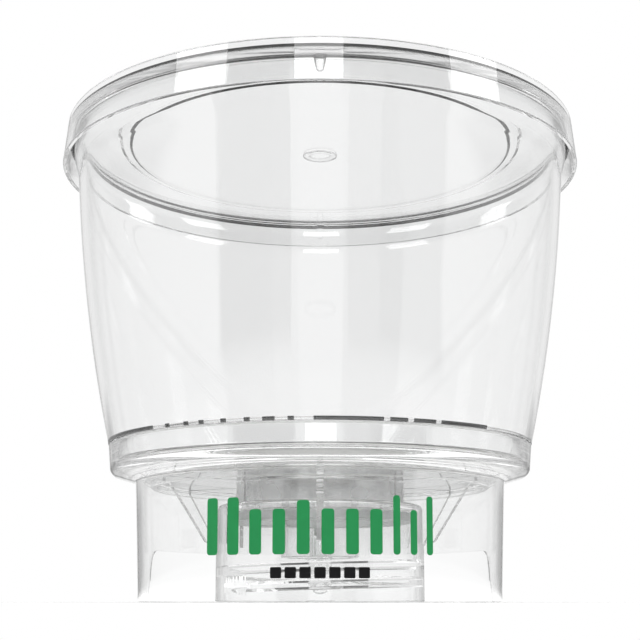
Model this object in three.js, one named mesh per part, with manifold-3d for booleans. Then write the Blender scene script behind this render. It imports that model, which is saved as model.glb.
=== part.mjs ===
// Bottle-top vacuum filtration unit. A clear moulded funnel is welded on a moulded base, with a filter
// membrane clamped between them. The base screws on a 45 mm bottle neck, stands on its skirt and takes a
// hose port at the back. A loose lid covers the funnel.
// Millimetres, +Z up. The origin is on the table, under the centre of the unit, and the port faces +Y.

import * as THREE from "three";
import { mergeVertices } from "three/addons/utils/BufferGeometryUtils.js";
import Module from "manifold-3d";

const wasm = await Module();
wasm.setup();

// ---------------------------------------------------------------- driving dimensions
// Clearances and mesh fineness
const SEAT_GAP = 0.3; // left between a piece and the one that it seats on
const SLIP_GAP = 0.35; // radial play of a plug in its bore
const EMBED = 0.7; // how far a rib runs into the wall that carries it
const AROUND = 60; // facets round the unit
const AROUND_SMALL = 20; // facets round the port's tubes
const AROUND_RIB = 8; // facets round a centring rib
const CORNER_STEPS = 3; // facets in a rounded corner
const BACK_ANGLE = 90; // degrees from +X to the back, where the hose port is

// Collar that takes the bottle neck
const NECK_BORE_RADIUS = 23.1;
const COLLAR_WALL = 2.0;
const COLLAR_DEPTH = 21.0; // table to the ledge that the gasket seats on
const LEDGE_WALL = 1.8;

// Gasket under the ledge
const GASKET_INNER_RADIUS = 16.5;
const GASKET_THICKNESS = 2.1;
const GASKET_SIDE_PLAY = 0.6;

// Drum above the ledge, where the air is drawn off
const DRUM_RADIUS = 20.6;
const DRUM_WALL = 1.6;

// Drip spout
const SPOUT_RADIUS = 9.4;
const SPOUT_WALL = 1.6;
const SPOUT_END_HEIGHT = 10.4; // table to the spout's lip

// Floor, membrane support and weld cup
const FLOOR_HEIGHT = 28.2; // table to the floor's underside
const FLOOR_WALL = 1.8;
const RIDGE_HEIGHT = 1.7;
const RIDGE_WIDTH = 1.5;
const RIDGE_PITCH = 6.4;
const FIRST_RIDGE_RADIUS = 14.0;
const SEAT_LEDGE_WIDTH = 3.4; // flat margin that the membrane's edge lies on
const CHANNEL_COUNT = 12;
const CHANNEL_WIDTH = 2.6;
const CHANNEL_START_RADIUS = 9.0;
const CUP_RADIUS = 51.3;
const CUP_DRAFT = 0.6;
const CUP_WALL = 1.5;
const CUP_DEPTH = 4.9; // seat to the cup's rim
const CUP_CORNER_RADIUS = 1.7;
const BEVEL_RISE = 1.7; // the underside climbs by this outside the skirt

// Skirt with its window at the back
const SKIRT_FOOT_RADIUS = 43.3;
const SKIRT_DRAFT = 1.3; // the skirt is wider by this at the floor
const SKIRT_WALL = 1.6;
const WINDOW_HEIGHT = 12.6;
const WINDOW_TOP_HALF_ANGLE = 81;
const WINDOW_FOOT_HALF_ANGLE = 92;
const WINDOW_CORNER_RADIUS = 7.5;

// Gussets between collar and floor
const GUSSET_COUNT = 6;
const GUSSET_THICKNESS = 1.5;
const GUSSET_REACH = 39.5; // radius of the outer end
const GUSSET_TOE_RADIUS = 30.0; // radius where the slope meets the flat toe
const GUSSET_TOE_HEIGHT = 13.3;
const UNDER_RING_DEPTH = 1.7;
const UNDER_RING_WIDTH = 1.4;

// Port housing at the back of the base
const PORT_RADIUS = 33.0; // axis of the vertical bore, from the unit's axis
const PORT_BORE_RADIUS = 2.9;
const PORT_BOSS_WALL = 1.6;
const PORT_BOSS_HEIGHT = 12.0; // table to the boss's end
const PASSAGE_SIZE = 3.0;
const PASSAGE_WALL = 1.5;

// Hose port
const HOSE_AXIS_HEIGHT = 7.2;
const HOSE_BORE_RADIUS = 1.7;
const HOSE_TUBE_RADIUS = 3.0;
const HOSE_BARB_RADIUS = 4.1;
const HOSE_BARB_LENGTH = 5.0;
const HOSE_BARB_COUNT = 3;
const HOSE_REACH = 61.0; // radius of the nozzle's end
const ELBOW_RADIUS = 3.4;
const SPIGOT_TOP_HEIGHT = 17.0;
const SHOULDER_THICKNESS = 0.8;
const PLUG_LENGTH = 5.6;

// Membrane
const MEMBRANE_THICKNESS = 0.3;
const MEMBRANE_SIDE_PLAY = 0.6;

// Funnel
const FUNNEL_WALL = 1.9;
const FUNNEL_FOOT_RADIUS = 51.4;
const FUNNEL_MOUTH_RADIUS = 61.0;
const FUNNEL_HEIGHT = 80.0; // membrane to the mouth's lip
const FUNNEL_BULGE = 1.4; // how far the wall bows out half way up
const FUNNEL_WALL_STEPS = 5; // facets up the bowed wall
const CLAMP_WIDTH = 1.9; // wall of the ring that clamps the membrane
const CLAMP_SHOULDER_RISE = 0.9;
const FLARE_WIDTH = 1.4; // the mouth steps out by this
const FLARE_HEIGHT = 5.4;
const FLARE_DROP = 3.0; // lip down to the flare's top
const LIP_ROUND = 0.5;

// Lid
const LID_RADIUS = 65.0;
const LID_DRAFT = 1.0;
const LID_SKIRT_WALL = 1.1;
const LID_SKIRT_DEPTH = 8.0; // top plate down to the skirt's edge
const LID_PLATE = 1.6;
const RIM_HEIGHT = 2.3; // rim above the top plate
const RIM_WIDTH = 1.6;
const RIM_ROUND = 0.5;
const PANEL_RADIUS = 48.0; // edge of the sunk panel on the lid's underside
const PANEL_TOP_RADIUS = 50.4; // its edge on the lid's top
const PANEL_STEP_WIDTH = 0.3;
const PANEL_DEPTH = 0.35;
const GATE_RADIUS = 4.4;
const GATE_DEPTH = 0.7;
const GATE_STEPS = 2; // facets from the gate mark's edge to its middle
const CENTRING_RIB_COUNT = 2;
const CENTRING_RIB_WIDTH = 3.0;
const CENTRING_RIB_TIP_WIDTH = 1.6;
const CENTRING_RIB_LENGTH = 4.4;

// ---------------------------------------------------------------- derived levels
const collarRadius = NECK_BORE_RADIUS + COLLAR_WALL;
const floorTop = FLOOR_HEIGHT + FLOOR_WALL;
const supportTop = floorTop + RIDGE_HEIGHT;
const cupBoreRadius = CUP_RADIUS - CUP_WALL;
const cupRim = supportTop + CUP_DEPTH;
const membraneBottom = supportTop + SEAT_GAP;
const membraneTop = membraneBottom + MEMBRANE_THICKNESS;
const funnelFoot = membraneTop + SEAT_GAP;
const funnelShoulder = cupRim + SEAT_GAP;
const funnelLip = membraneTop + FUNNEL_HEIGHT;
const flareTop = funnelLip - FLARE_DROP;
const flareBottom = flareTop - FLARE_HEIGHT;
const lipRadius = FUNNEL_MOUTH_RADIUS + FLARE_WIDTH;
const lidUnderside = funnelLip + SEAT_GAP;
const lidTop = lidUnderside + LID_PLATE;
const lidEdge = lidTop - LID_SKIRT_DEPTH;
const lidRimTop = lidTop + RIM_HEIGHT;
const ridgeLimit = cupBoreRadius - SEAT_LEDGE_WIDTH;

// ---------------------------------------------------------------- helpers
const radians = (degrees) => (degrees * Math.PI) / 180;

// A corner list [x, y, radius] turned into plain points, with each radius drawn as a short run of facets.
function roundedPath(corners) {
  const points = [];
  corners.forEach(([x, y, radius = 0], i) => {
    const corner = new THREE.Vector2(x, y);
    if (radius === 0) {
      points.push(corner);
      return;
    }
    const [beforeX, beforeY] = corners[(i + corners.length - 1) % corners.length];
    const [afterX, afterY] = corners[(i + 1) % corners.length];
    const back = new THREE.Vector2(beforeX, beforeY).sub(corner).normalize();
    const onward = new THREE.Vector2(afterX, afterY).sub(corner).normalize();
    const half = Math.acos(THREE.MathUtils.clamp(back.dot(onward), -1, 1)) / 2;
    const run = radius / Math.tan(half);
    const start = corner.clone().addScaledVector(back, run);
    const end = corner.clone().addScaledVector(onward, run);
    const centre = back.clone().add(onward).setLength(radius / Math.sin(half)).add(corner);
    const from = start.clone().sub(centre).angle();
    let sweep = end.clone().sub(centre).angle() - from;
    if (sweep > Math.PI) sweep -= 2 * Math.PI;
    if (sweep < -Math.PI) sweep += 2 * Math.PI;
    for (let step = 0; step <= CORNER_STEPS; step += 1) {
      const angle = from + (sweep * step) / CORNER_STEPS;
      points.push(new THREE.Vector2(Math.cos(angle), Math.sin(angle)).multiplyScalar(radius).add(centre));
    }
  });
  return points;
}

// A manifold solid from any closed geometry: shared vertices merged, faces without area left out.
function solidOf(geometry) {
  const bare = new THREE.BufferGeometry();
  bare.setAttribute("position", geometry.getAttribute("position").clone());
  if (geometry.index) bare.setIndex(geometry.index.clone());
  const merged = mergeVertices(bare, 1e-4);
  const index = merged.index.array;
  const triangles = [];
  for (let i = 0; i < index.length; i += 3) {
    const [a, b, c] = [index[i], index[i + 1], index[i + 2]];
    if (a !== b && b !== c && c !== a) triangles.push(a, b, c);
  }
  return new wasm.Manifold(
    new wasm.Mesh({
      numProp: 3,
      vertProperties: new Float32Array(merged.getAttribute("position").array),
      triVerts: new Uint32Array(triangles),
    }),
  );
}

// The three.js geometry of a manifold solid.
function geometryOf(solid) {
  const mesh = solid.getMesh();
  const geometry = new THREE.BufferGeometry();
  geometry.setAttribute("position", new THREE.BufferAttribute(new Float32Array(mesh.vertProperties), 3));
  geometry.setIndex(new THREE.BufferAttribute(new Uint32Array(mesh.triVerts), 1));
  geometry.computeVertexNormals();
  return geometry;
}

// One solid from several closed geometries.
const joined = (geometries) => geometries.map(solidOf).reduce((whole, piece) => whole.add(piece));

// A solid with closed geometries cut out of it.
const cut = (solid, geometries) => geometries.map(solidOf).reduce((rest, tool) => rest.subtract(tool), solid);

// A ring or disc from corners [radius, height, round], listed counter-clockwise with radius to the right.
function revolved(corners, segments = AROUND) {
  const points = roundedPath(corners);
  const onAxis = points[0].x === 0 && points[points.length - 1].x === 0;
  if (!onAxis) points.push(points[0].clone());
  return new THREE.LatheGeometry(points, segments).rotateX(Math.PI / 2);
}

// A cylinder, or a cone, standing from one height to another.
function upright(radiusBottom, radiusTop, from, to, segments = AROUND_SMALL) {
  const geometry = new THREE.CylinderGeometry(radiusTop, radiusBottom, to - from, segments);
  return geometry.rotateX(Math.PI / 2).translate(0, 0, (from + to) / 2);
}

// A cylinder standing on the hose port's axis, from one height to another.
const portCylinder = (radius, from, to) => upright(radius, radius, from, to).translate(0, PORT_RADIUS, 0);

// A cylinder, or a cone, lying along +Y from one distance to another at the given height.
function lying(radiusNear, radiusFar, from, to, height) {
  const geometry = new THREE.CylinderGeometry(radiusFar, radiusNear, to - from, AROUND_SMALL);
  return geometry.translate(0, (from + to) / 2, height);
}

// A box given by its low and high corners.
function block(low, high) {
  const size = high.map((value, axis) => value - low[axis]);
  const centre = high.map((value, axis) => (value + low[axis]) / 2);
  return new THREE.BoxGeometry(...size).translate(...centre);
}

// A flat plate of the given thickness, its outline drawn in radius and height, standing along +X.
function radialPlate(corners, thickness) {
  const shape = new THREE.Shape(corners.map(([radius, height]) => new THREE.Vector2(radius, height)));
  const geometry = new THREE.ExtrudeGeometry(shape, { depth: thickness, bevelEnabled: false, steps: 1 });
  return geometry.translate(0, 0, -thickness / 2).rotateX(Math.PI / 2);
}

// A body swept through sections that all have the same number of points, closed by a face at each end.
function loft(sections) {
  const count = sections[0].length;
  const positions = sections.flat().flatMap((point) => point.toArray());
  const index = [];
  for (let s = 0; s + 1 < sections.length; s += 1) {
    for (let i = 0; i < count; i += 1) {
      const next = (i + 1) % count;
      const [a, b, c, d] = [s * count + i, s * count + next, (s + 1) * count + next, (s + 1) * count + i];
      index.push(a, b, c, a, c, d);
    }
  }
  const last = (sections.length - 1) * count;
  for (let i = 1; i + 1 < count; i += 1) {
    index.push(0, i + 1, i);
    index.push(last, last + i, last + i + 1);
  }
  const geometry = new THREE.BufferGeometry();
  geometry.setAttribute("position", new THREE.Float32BufferAttribute(positions, 3));
  geometry.setIndex(index);
  return geometry;
}

// Copies of a geometry turned evenly round the unit's axis.
function roundTheAxis(geometry, count, firstAngle) {
  const step = 360 / count;
  return Array.from({ length: count }, (_, i) => geometry.clone().rotateZ(radians(firstAngle + i * step)));
}

// ---------------------------------------------------------------- lid
// Radius of the lid's outer wall at a height: it widens downwards.
const lidWallRadius = (height) => LID_RADIUS - (LID_DRAFT * (height - lidEdge)) / (lidRimTop - lidEdge);

// The gate mark's round hollow in a face at the given level, from its edge to the axis.
function gateHollow(level) {
  return Array.from({ length: GATE_STEPS + 1 }, (_, step) => {
    const angle = (Math.PI / 2) * (1 - step / GATE_STEPS);
    return [GATE_RADIUS * Math.sin(angle), level - GATE_DEPTH * Math.cos(angle)];
  });
}

function lidSolid() {
  const rimInner = lidWallRadius(lidRimTop) - RIM_WIDTH;
  const shell = revolved([
    ...gateHollow(lidUnderside - PANEL_DEPTH).reverse(),
    [PANEL_RADIUS, lidUnderside - PANEL_DEPTH],
    [PANEL_RADIUS + PANEL_STEP_WIDTH, lidUnderside],
    [lidWallRadius(lidUnderside) - LID_SKIRT_WALL, lidUnderside],
    [lidWallRadius(lidEdge) - LID_SKIRT_WALL, lidEdge],
    [lidWallRadius(lidEdge), lidEdge],
    [lidWallRadius(lidRimTop), lidRimTop, RIM_ROUND],
    [rimInner, lidRimTop, RIM_ROUND],
    [rimInner, lidTop],
    [PANEL_TOP_RADIUS + PANEL_STEP_WIDTH, lidTop],
    [PANEL_TOP_RADIUS, lidTop - PANEL_DEPTH],
    ...gateHollow(lidTop - PANEL_DEPTH),
  ]);
  return joined([shell, ...roundTheAxis(centringRib(), CENTRING_RIB_COUNT, BACK_ANGLE)]);
}

// A teardrop on the inside of the lid's skirt that keeps the lid centred on the funnel's lip.
function centringRib() {
  const half = CENTRING_RIB_WIDTH / 2;
  const tip = CENTRING_RIB_TIP_WIDTH / 2;
  const inner = lipRadius + SEAT_GAP;
  const outer = lidWallRadius(lidUnderside) - LID_SKIRT_WALL / 2;
  const drop = upright(tip, half, lidUnderside - CENTRING_RIB_LENGTH, lidUnderside + EMBED, AROUND_RIB);
  const depth = (outer - inner) / half;
  return drop.scale(depth, 1, 1).translate(outer, 0, 0);
}

// ---------------------------------------------------------------- funnel
// Radius of the funnel's outer wall at a height: it widens upwards and bows out a little.
function funnelRadius(height) {
  const share = (height - funnelShoulder) / (flareBottom - funnelShoulder);
  const straight = FUNNEL_FOOT_RADIUS + (FUNNEL_MOUTH_RADIUS - FUNNEL_FOOT_RADIUS) * share;
  return straight + FUNNEL_BULGE * 4 * share * (1 - share);
}

function funnelSolid() {
  const clampOuter = cupBoreRadius - SEAT_GAP;
  const clampInner = clampOuter - CLAMP_WIDTH;
  const innerStart = funnelShoulder + CLAMP_SHOULDER_RISE;
  const outerWall = [];
  const innerWall = [];
  for (let step = 0; step <= FUNNEL_WALL_STEPS; step += 1) {
    const share = step / FUNNEL_WALL_STEPS;
    const outerHeight = funnelShoulder + (flareBottom - funnelShoulder) * share;
    const innerHeight = innerStart + (flareBottom - innerStart) * share;
    outerWall.push([funnelRadius(outerHeight), outerHeight]);
    innerWall.unshift([funnelRadius(innerHeight) - FUNNEL_WALL, innerHeight]);
  }
  return joined([
    revolved([
      [clampInner, funnelFoot],
      [clampOuter, funnelFoot],
      [clampOuter, funnelShoulder],
      ...outerWall,
      [lipRadius, flareTop],
      [lipRadius, funnelLip, LIP_ROUND],
      [lipRadius - FUNNEL_WALL, funnelLip, LIP_ROUND],
      [lipRadius - FUNNEL_WALL, flareTop],
      ...innerWall,
      [clampInner, funnelShoulder],
    ]),
  ]);
}

// ---------------------------------------------------------------- membrane
function membraneSolid() {
  return joined([
    revolved([
      [0, membraneBottom],
      [cupBoreRadius - MEMBRANE_SIDE_PLAY, membraneBottom],
      [cupBoreRadius - MEMBRANE_SIDE_PLAY, membraneTop],
      [0, membraneTop],
    ]),
  ]);
}

// ---------------------------------------------------------------- base
// The moulded section of the base: spout, drum, collar, skirt, cup and the ridged floor.
function baseSection() {
  const skirtTopRadius = SKIRT_FOOT_RADIUS + SKIRT_DRAFT;
  const cupFootRadius = CUP_RADIUS - CUP_DRAFT;
  const ridges = [];
  for (let radius = FIRST_RIDGE_RADIUS; radius + RIDGE_WIDTH < ridgeLimit; radius += RIDGE_PITCH) {
    ridges.unshift(
      [radius + RIDGE_WIDTH, floorTop],
      [radius + RIDGE_WIDTH, supportTop],
      [radius, supportTop],
      [radius, floorTop],
    );
  }
  return revolved([
    [SPOUT_RADIUS - SPOUT_WALL, SPOUT_END_HEIGHT],
    [SPOUT_RADIUS, SPOUT_END_HEIGHT],
    [SPOUT_RADIUS, FLOOR_HEIGHT],
    [DRUM_RADIUS - DRUM_WALL, FLOOR_HEIGHT],
    [DRUM_RADIUS - DRUM_WALL, COLLAR_DEPTH],
    [NECK_BORE_RADIUS, COLLAR_DEPTH],
    [NECK_BORE_RADIUS, 0],
    [collarRadius, 0],
    [collarRadius, COLLAR_DEPTH + LEDGE_WALL, COLLAR_WALL / 2],
    [DRUM_RADIUS, COLLAR_DEPTH + LEDGE_WALL],
    [DRUM_RADIUS, FLOOR_HEIGHT],
    [GUSSET_REACH, FLOOR_HEIGHT],
    [GUSSET_REACH, FLOOR_HEIGHT - UNDER_RING_DEPTH],
    [GUSSET_REACH + UNDER_RING_WIDTH, FLOOR_HEIGHT - UNDER_RING_DEPTH],
    [GUSSET_REACH + UNDER_RING_WIDTH, FLOOR_HEIGHT],
    [skirtTopRadius - SKIRT_WALL, FLOOR_HEIGHT],
    [SKIRT_FOOT_RADIUS - SKIRT_WALL, 0],
    [SKIRT_FOOT_RADIUS, 0],
    [skirtTopRadius, FLOOR_HEIGHT],
    [cupFootRadius, FLOOR_HEIGHT + BEVEL_RISE, CUP_CORNER_RADIUS],
    [CUP_RADIUS, cupRim],
    [cupBoreRadius, cupRim],
    [cupBoreRadius, supportTop],
    [ridgeLimit, supportTop],
    [ridgeLimit, floorTop],
    ...ridges,
    [SPOUT_RADIUS - SPOUT_WALL, floorTop, SPOUT_WALL],
  ]);
}

// One gusset between collar, drum and floor, with its slope and its flat toe.
function gusset() {
  return radialPlate(
    [
      [collarRadius - EMBED, GUSSET_TOE_HEIGHT],
      [GUSSET_TOE_RADIUS, GUSSET_TOE_HEIGHT],
      [GUSSET_REACH + EMBED, FLOOR_HEIGHT],
      [GUSSET_REACH + EMBED, FLOOR_HEIGHT + EMBED],
      [DRUM_RADIUS - EMBED, FLOOR_HEIGHT + EMBED],
      [DRUM_RADIUS - EMBED, COLLAR_DEPTH + LEDGE_WALL - EMBED],
      [collarRadius - EMBED, COLLAR_DEPTH + LEDGE_WALL - EMBED],
    ],
    GUSSET_THICKNESS,
  );
}

// Height of the window's edge at an angle from the back: flat on top, rounded corners, raked sides.
function windowEdge(angle) {
  const side = Math.abs(angle);
  const rakeRun = WINDOW_FOOT_HALF_ANGLE - WINDOW_TOP_HALF_ANGLE;
  const raked = (WINDOW_HEIGHT * (WINDOW_FOOT_HALF_ANGLE - side)) / rakeRun;
  const degreesPerMillimetre = 180 / (Math.PI * SKIRT_FOOT_RADIUS);
  const cornerSpan = WINDOW_CORNER_RADIUS * degreesPerMillimetre;
  const intoCorner = Math.max(0, side - (WINDOW_TOP_HALF_ANGLE - cornerSpan / 2)) / cornerSpan;
  const cornerFall = WINDOW_CORNER_RADIUS * (1 - Math.sqrt(Math.max(0, 1 - intoCorner ** 2)));
  return Math.min(WINDOW_HEIGHT - cornerFall, raked);
}

// The cutter for the window: a sweep round the back whose top follows the window's edge.
function windowCutter() {
  const overshoot = SKIRT_WALL; // the cutter passes the table and the skirt's faces by this
  const inner = SKIRT_FOOT_RADIUS - SKIRT_WALL - overshoot;
  const outer = SKIRT_FOOT_RADIUS + SKIRT_DRAFT + overshoot;
  const rake = (WINDOW_FOOT_HALF_ANGLE - WINDOW_TOP_HALF_ANGLE) / WINDOW_HEIGHT;
  const limit = WINDOW_FOOT_HALF_ANGLE + rake * overshoot;
  const flat = WINDOW_TOP_HALF_ANGLE - WINDOW_CORNER_RADIUS;
  const angles = [-limit, -WINDOW_FOOT_HALF_ANGLE];
  const cornerSteps = CORNER_STEPS * 2; // over the raked side and the corner above it
  for (let step = 1; step <= cornerSteps; step += 1) {
    angles.push(-WINDOW_FOOT_HALF_ANGLE + ((WINDOW_FOOT_HALF_ANGLE - flat) * step) / cornerSteps);
  }
  const facet = 360 / AROUND;
  for (let angle = -flat + facet; angle < 0; angle += facet) angles.push(angle);
  const mirrored = angles.map((angle) => -angle).reverse();
  const sections = [...angles, ...mirrored].map((angle) => {
    const top = angle === -limit || angle === limit ? -overshoot : windowEdge(angle);
    const direction = new THREE.Vector2(0, 1).rotateAround(new THREE.Vector2(), radians(-angle));
    const at = (radius, height) => new THREE.Vector3(direction.x * radius, direction.y * radius, height);
    const floor = -2 * overshoot;
    return [at(inner, floor), at(outer, floor), at(outer, top), at(inner, top)];
  });
  return loft(sections);
}

// The port housing: a boss for the hose port and a block that carries the air passage to the drum.
function portHousing() {
  const bossRadius = PORT_BORE_RADIUS + PORT_BOSS_WALL;
  const half = PASSAGE_SIZE / 2 + PASSAGE_WALL;
  const passageTop = FLOOR_HEIGHT - PASSAGE_WALL;
  return [
    portCylinder(bossRadius, PORT_BOSS_HEIGHT, FLOOR_HEIGHT + EMBED),
    block(
      [-half, DRUM_RADIUS - EMBED, passageTop - PASSAGE_SIZE - PASSAGE_WALL],
      [half, PORT_RADIUS, FLOOR_HEIGHT + EMBED],
    ),
  ];
}

// The bore that takes the hose port and the passage from it into the drum.
function portCuts() {
  const passageTop = FLOOR_HEIGHT - PASSAGE_WALL;
  const half = PASSAGE_SIZE / 2;
  return [
    portCylinder(PORT_BORE_RADIUS, PORT_BOSS_HEIGHT - EMBED, passageTop),
    block(
      [-half, DRUM_RADIUS - DRUM_WALL - EMBED, passageTop - PASSAGE_SIZE],
      [half, PORT_RADIUS, passageTop],
    ),
  ];
}

// A channel across the ridges that leads the filtrate to the spout.
function drainChannel() {
  const half = CHANNEL_WIDTH / 2;
  return block([CHANNEL_START_RADIUS, -half, floorTop], [ridgeLimit - EMBED / 2, half, supportTop + EMBED]);
}

function baseSolid() {
  const gussets = roundTheAxis(gusset(), GUSSET_COUNT, BACK_ANGLE);
  const channels = roundTheAxis(drainChannel(), CHANNEL_COUNT, 180 / CHANNEL_COUNT);
  const body = joined([baseSection(), ...gussets, ...portHousing()]);
  return cut(body, [windowCutter(), ...portCuts(), ...channels]);
}

// ---------------------------------------------------------------- neck gasket
function gasketSolid() {
  const top = COLLAR_DEPTH - SEAT_GAP;
  const outer = NECK_BORE_RADIUS - GASKET_SIDE_PLAY;
  return joined([
    revolved([
      [GASKET_INNER_RADIUS, top - GASKET_THICKNESS],
      [outer, top - GASKET_THICKNESS],
      [outer, top],
      [GASKET_INNER_RADIUS, top],
    ]),
  ]);
}

// ---------------------------------------------------------------- hose port
// An elbow: a spigot up into the boss, a shoulder under it, and a barbed nozzle out through the window.
function portSolid() {
  const spigotRadius = PORT_BORE_RADIUS - SLIP_GAP;
  const shoulderTop = PORT_BOSS_HEIGHT - SEAT_GAP;
  const shoulderRadius = PORT_BORE_RADIUS + PORT_BOSS_WALL;
  const shoulderBottom = shoulderTop - SHOULDER_THICKNESS;
  const elbowBottom = HOSE_AXIS_HEIGHT - ELBOW_RADIUS;
  const pieces = [
    portCylinder(spigotRadius, HOSE_AXIS_HEIGHT, SPIGOT_TOP_HEIGHT),
    portCylinder(shoulderRadius, shoulderBottom, shoulderTop),
    portCylinder(ELBOW_RADIUS, elbowBottom, (shoulderBottom + shoulderTop) / 2),
    lying(HOSE_TUBE_RADIUS, HOSE_TUBE_RADIUS, PORT_RADIUS, HOSE_REACH - EMBED, HOSE_AXIS_HEIGHT),
  ];
  for (let barb = 0; barb < HOSE_BARB_COUNT; barb += 1) {
    const end = HOSE_REACH - barb * HOSE_BARB_LENGTH;
    pieces.push(lying(HOSE_BARB_RADIUS, HOSE_TUBE_RADIUS, end - HOSE_BARB_LENGTH, end, HOSE_AXIS_HEIGHT));
  }
  return cut(joined(pieces), [
    lying(HOSE_BORE_RADIUS, HOSE_BORE_RADIUS, PORT_RADIUS, HOSE_REACH + EMBED, HOSE_AXIS_HEIGHT),
    portCylinder(HOSE_BORE_RADIUS, HOSE_AXIS_HEIGHT, SPIGOT_TOP_HEIGHT + EMBED),
  ]);
}

// The plug of fibre in the boss's bore that keeps mist out of the hose.
function portPlugSolid() {
  const radius = PORT_BORE_RADIUS - SLIP_GAP;
  const bottom = SPIGOT_TOP_HEIGHT + SEAT_GAP;
  return joined([portCylinder(radius, bottom, bottom + PLUG_LENGTH)]);
}

// ---------------------------------------------------------------- scene graph
const clearStyrene = { color: 0xe9eef0, roughness: 0.06, metalness: 0, transparent: true, opacity: 0.35 };
const whiteMembrane = { color: 0xf2f2ee, roughness: 0.9, metalness: 0 };
const siliconeWhite = { color: 0xdfe2e2, roughness: 0.55, metalness: 0 };
const fibreWhite = { color: 0xf4f4f0, roughness: 1, metalness: 0 };

const part = new THREE.Group();

function addPiece(name, solid, finish) {
  const mesh = new THREE.Mesh(geometryOf(solid), new THREE.MeshStandardMaterial(finish));
  mesh.name = name;
  part.add(mesh);
}

addPiece("lid", lidSolid(), clearStyrene);
addPiece("funnel", funnelSolid(), clearStyrene);
addPiece("membrane", membraneSolid(), whiteMembrane);
addPiece("base", baseSolid(), clearStyrene);
addPiece("neck_gasket", gasketSolid(), siliconeWhite);
addPiece("hose_port", portSolid(), clearStyrene);
addPiece("port_plug", portPlugSolid(), fibreWhite);

export default part;
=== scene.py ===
"""Blender model of a bottle-top vacuum filtration unit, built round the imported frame.

The unit is moulded in clear styrene. A loose lid covers a funnel, the funnel is welded on a base
with a filter membrane clamped between them, and the base screws on a bottle neck, stands on its
skirt and takes a hose at the back. The size fields are millimetres, and the meshes are metres.
"""

import logging
import math
from dataclasses import dataclass
from enum import Enum
from typing import Callable, Iterable, Sequence

import bmesh
import bpy
from mathutils import Matrix, Vector

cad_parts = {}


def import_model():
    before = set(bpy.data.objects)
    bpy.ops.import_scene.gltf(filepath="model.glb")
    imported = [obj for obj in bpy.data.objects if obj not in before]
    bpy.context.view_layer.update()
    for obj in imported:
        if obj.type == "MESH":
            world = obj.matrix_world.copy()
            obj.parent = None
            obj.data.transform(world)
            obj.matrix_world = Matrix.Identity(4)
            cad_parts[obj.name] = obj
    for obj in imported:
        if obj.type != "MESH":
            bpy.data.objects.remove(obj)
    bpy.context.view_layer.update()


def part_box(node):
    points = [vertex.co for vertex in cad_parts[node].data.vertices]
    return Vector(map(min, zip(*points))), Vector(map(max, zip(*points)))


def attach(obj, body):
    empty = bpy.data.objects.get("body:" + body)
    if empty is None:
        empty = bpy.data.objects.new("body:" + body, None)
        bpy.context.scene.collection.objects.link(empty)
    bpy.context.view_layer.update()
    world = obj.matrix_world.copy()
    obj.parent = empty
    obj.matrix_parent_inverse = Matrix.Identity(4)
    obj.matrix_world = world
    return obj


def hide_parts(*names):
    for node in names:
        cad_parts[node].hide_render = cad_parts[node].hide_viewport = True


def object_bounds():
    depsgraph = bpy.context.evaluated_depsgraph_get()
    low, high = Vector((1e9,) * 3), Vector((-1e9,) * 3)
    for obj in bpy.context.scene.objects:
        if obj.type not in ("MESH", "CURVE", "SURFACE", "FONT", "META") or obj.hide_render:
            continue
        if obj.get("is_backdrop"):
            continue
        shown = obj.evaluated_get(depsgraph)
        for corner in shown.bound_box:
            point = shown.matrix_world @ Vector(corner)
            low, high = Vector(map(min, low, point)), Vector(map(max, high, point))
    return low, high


MM = 0.001  # one millimetre in metres
BODY = "root"
ROUND_STEPS = 240  # facets round the unit's axis
TUBE_STEPS = 64  # facets round a small tube
ROUNDING_STEP = math.radians(18)  # the most that one facet of a rounded corner turns
SHARP_ANGLE = math.radians(38)  # edges that turn by more than this stay crisp
ON_AXIS = 1e-6  # a smaller radius is a pole
BACK = 90.0  # degrees round the axis from +X to the back, where the hose port is
PAINTED_EDGE_SHADE_START = (0.72, 1.0)  # how far plastic turns from the eye before its painted edge shade starts, and what is left
PAINTED_EDGE_SHADE_FULL = 0.88  # how far it turns until the painted edge shade is darkest
WHITE = (1.0, 1.0, 1.0)
HALF = (0.5, 0.5, 0.5)

Point = tuple[float, float]
Colour = tuple[float, float, float]

log = logging.getLogger("filtration_unit")


class Ray(Enum):
    """Kinds of ray that a Light Path node tells apart."""

    CAMERA = "Is Camera Ray"
    SHADOW = "Is Shadow Ray"
    DIFFUSE = "Is Diffuse Ray"
    GLOSSY = "Is Glossy Ray"
    TRANSMISSION = "Is Transmission Ray"


class Slot(Enum):
    """Material slots of the record."""

    STYRENE = "clear_styrene"
    MEMBRANE = "membrane"
    SILICONE = "silicone"
    FIBRE = "fibre"


class Operation(Enum):
    """What a moulding does with a tool solid."""

    JOIN = "UNION"
    CUT = "DIFFERENCE"


# ---------------------------------------------------------------- outlines and meshes
@dataclass(frozen=True)
class Corner:
    """A corner of an outline, in millimetres.

    Attributes:
        radius: Distance from the axis.
        height: Height above the table.
        rounding: Radius of the arc that rounds the corner, or 0 for a crisp one.
    """

    radius: float
    height: float
    rounding: float = 0.0


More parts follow.
